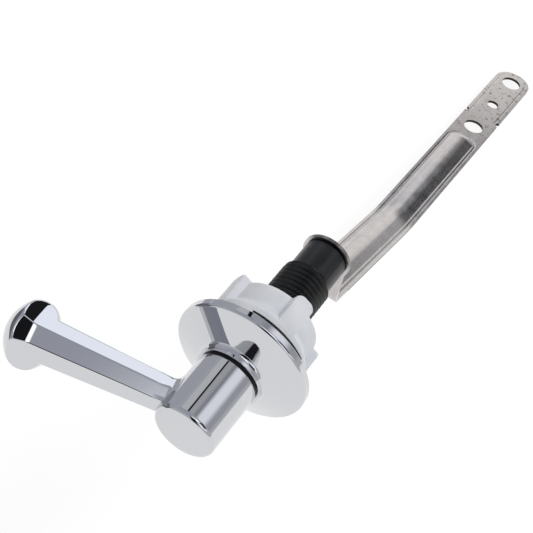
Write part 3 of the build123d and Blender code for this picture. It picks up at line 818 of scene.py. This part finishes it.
def makeCard(name, place, target, width, height, light):
    bm = bmesh.new()
    bmesh.ops.create_grid(bm, x_segments=1, y_segments=1, size=0.5)
    bmesh.ops.scale(bm, verts=bm.verts, vec=(width * mm, height * mm, 1))
    facing = (Vector(target) - Vector(place)).to_track_quat("Z", "Y").to_matrix()
    bmesh.ops.rotate(bm, verts=bm.verts, cent=(0, 0, 0), matrix=facing)
    bmesh.ops.translate(bm, verts=bm.verts, vec=Vector(place) * mm)
    card = objectFrom(bm, name)
    material, tree, _ = newMaterial(name)
    glow = addNode(tree, "ShaderNodeEmission", values={"Color": light + (1.0,), "Strength": 1.0})
    tree.links.new(glow.outputs[0], tree.nodes["Material Output"].inputs["Surface"])
    card.data.materials.append(material)
    card.visible_camera = card.visible_diffuse = card.visible_shadow = False


for settings in cards:
    makeCard(*settings)

# dark flags and bright panels farther off: direction, half width and half height in degrees, softness, light
studioPanels = [
    ("leftWall", (-0.945, 0.253, 0.208), 42, 20, 0.25, (0.46, 0.47, 0.52)),
    ("lowFlag", (0.362, 0.896, 0.259), 7, 9, 0.03, (0.01, 0.01, 0.012)),
    ("darkGap", (0.191, 0.765, 0.616), 9, 12, 0.1, (0.03, 0.03, 0.035)),
    ("softbox", (0.474, 0.508, 0.719), 13, 15, 0.28, (1.0, 1.01, 1.08)),
    ("topCard", (-0.047, 0.451, 0.891), 8, 6, 0.08, (0.48, 0.48, 0.5)),
    ("topGap", (0.164, 0.504, 0.848), 4.5, 6, 0.3, (0.2, 0.205, 0.24)),
    ("leftCard", (-0.447, 0.515, 0.731), 9, 9, 0.1, (0.62, 0.63, 0.65)),
    ("thinFlag", (-0.285, 0.514, 0.809), 2.1, 12, 0.015, (0.01, 0.01, 0.01)),
    ("rightGrey", (0.815, 0.490, 0.309), 9, 9, 0.2, (0.42, 0.43, 0.48)),
    ("frontCard", (0.709, -0.497, 0.5), 20, 12, 0.1, (1.2, 1.2, 1.25)),
    ("frontWhite", (0.297, -0.421, 0.857), 15.5, 8, 0.12, (1.75, 1.75, 1.8)),
    ("rightFlag", (0.749, -0.159, 0.643), 15, 12, 0.04, (0.012, 0.012, 0.014)),
    ("frontFlag", (0.15, -0.853, 0.5), 10, 26, 0.05, (0.02, 0.02, 0.024)),
]


def makeWorld():
    world = bpy.data.worlds.new("studio")
    scene.world = world
    world.use_nodes = True
    tree = world.node_tree
    tree.nodes.clear()
    coords = addNode(tree, "ShaderNodeTexCoord")
    direction = coords.outputs["Generated"]

    def along(vector):
        return addNode(tree, "ShaderNodeVectorMath", {"operation": "DOT_PRODUCT"}, {1: vector},
                       {0: direction}).outputs["Value"]

    height = addNode(tree, "ShaderNodeMapRange", {"interpolation_type": "SMOOTHSTEP"},
                     {"From Min": studio["lowTo"], "From Max": studio["zenithFrom"]},
                     {"Value": along((0, 0, 1))})
    sky = addNode(tree, "ShaderNodeMix", {"data_type": "RGBA"}, links={"Factor": height.outputs[0]})
    sky.inputs["A"].default_value = linear(studio["low"])
    sky.inputs["B"].default_value = linear(studio["zenith"])
    colour = sky.outputs["Result"]
    for name, centre, wide, tall, soft, light in studioPanels:
        middle = Vector(centre).normalized()
        side = middle.cross(Vector((0, 0, 1))).normalized()
        top = side.cross(middle)
        masks = []
        for axis, reach in ((side, wide), (top, tall)):
            limit = math.sin(math.radians(reach))
            size = addNode(tree, "ShaderNodeMath", {"operation": "ABSOLUTE"}, links={0: along(axis)})
            masks.append(addNode(tree, "ShaderNodeMapRange", {"interpolation_type": "SMOOTHSTEP"},
                                 {"From Min": limit + soft / 2, "From Max": limit - soft / 2},
                                 {"Value": size.outputs[0]}).outputs[0])
        ahead = addNode(tree, "ShaderNodeMath", {"operation": "GREATER_THAN"}, {1: 0.0}, {0: along(middle)})
        both = addNode(tree, "ShaderNodeMath", {"operation": "MULTIPLY"}, links={0: masks[0], 1: masks[1]})
        both = addNode(tree, "ShaderNodeMath", {"operation": "MULTIPLY"},
                       links={0: both.outputs[0], 1: ahead.outputs[0]})
        layer = addNode(tree, "ShaderNodeMix", {"data_type": "RGBA", "label": name},
                        links={"Factor": both.outputs[0]})
        tree.links.new(colour, layer.inputs["A"])
        layer.inputs["B"].default_value = light + (1.0,)
        colour = layer.outputs["Result"]
    rays = addNode(tree, "ShaderNodeLightPath")
    mirrored = addNode(tree, "ShaderNodeBackground", values={"Strength": 1.0}, links={"Color": colour})
    seen = addNode(tree, "ShaderNodeBackground", values={"Color": (1, 1, 1, 1), "Strength": 1.0})
    fill = addNode(tree, "ShaderNodeBackground", values={"Color": (1, 1, 1, 1), "Strength": studio["fill"]})
    shiny = addNode(tree, "ShaderNodeMixShader",
                    links={0: rays.outputs["Is Glossy Ray"], 1: fill.outputs[0], 2: mirrored.outputs[0]})
    last = addNode(tree, "ShaderNodeMixShader",
                   links={0: rays.outputs["Is Camera Ray"], 1: shiny.outputs[0], 2: seen.outputs[0]})
    output = addNode(tree, "ShaderNodeOutputWorld")
    tree.links.new(last.outputs[0], output.inputs["Surface"])


makeWorld()

# soft lamps: where each stands in millimetres, its size and its power in watts
lamps = [
    ("keyBox", (380, 480, 600), 420, 3.6),
    ("fillBox", (-520, -300, 520), 500, 1.2),
    ("frontBox", (250, -700, 260), 420, 0.8),
]
for name, place, size, power in lamps:
    lampData = bpy.data.lights.new(name, "AREA")
    lampData.energy = power
    lampData.size = size * mm
    lamp = bpy.data.objects.new(name, lampData)
    lamp.location = Vector(place) * mm
    facing = Vector(studio["lampTarget"]) - Vector(place)
    lamp.rotation_euler = facing.to_track_quat("-Z", "Y").to_euler()
    lamp.visible_glossy = False
    scene.collection.objects.link(lamp)

# Camera at the photograph's angle: place in millimetres, its right, up and back directions,
# its focal length and picture width in pixels and its sensor in millimetres
cameraSet = {
    "place": (73.04, -201.25, 314.52), "right": (0.83245, 0.53025, 0.16084),
    "up": (-0.51169, 0.62425, 0.59033), "back": (0.21262, -0.57372, 0.79097),
    "focal": 1425.8, "imageWidth": 533, "sensor": 36.0,
}
cameraData = bpy.data.cameras.new("camera")
cameraData.sensor_width = cameraSet["sensor"]
cameraData.lens = cameraSet["sensor"] * cameraSet["focal"] / cameraSet["imageWidth"]
cameraData.clip_start = 0.01
camera = bpy.data.objects.new("camera", cameraData)
turnMatrix = Matrix((cameraSet["right"], cameraSet["up"], cameraSet["back"])).transposed()
camera.matrix_world = Matrix.Translation(Vector(cameraSet["place"]) * mm) @ turnMatrix.to_4x4()
scene.collection.objects.link(camera)
scene.camera = camera
scene.view_settings.view_transform = "Standard"
print("studio and camera set")
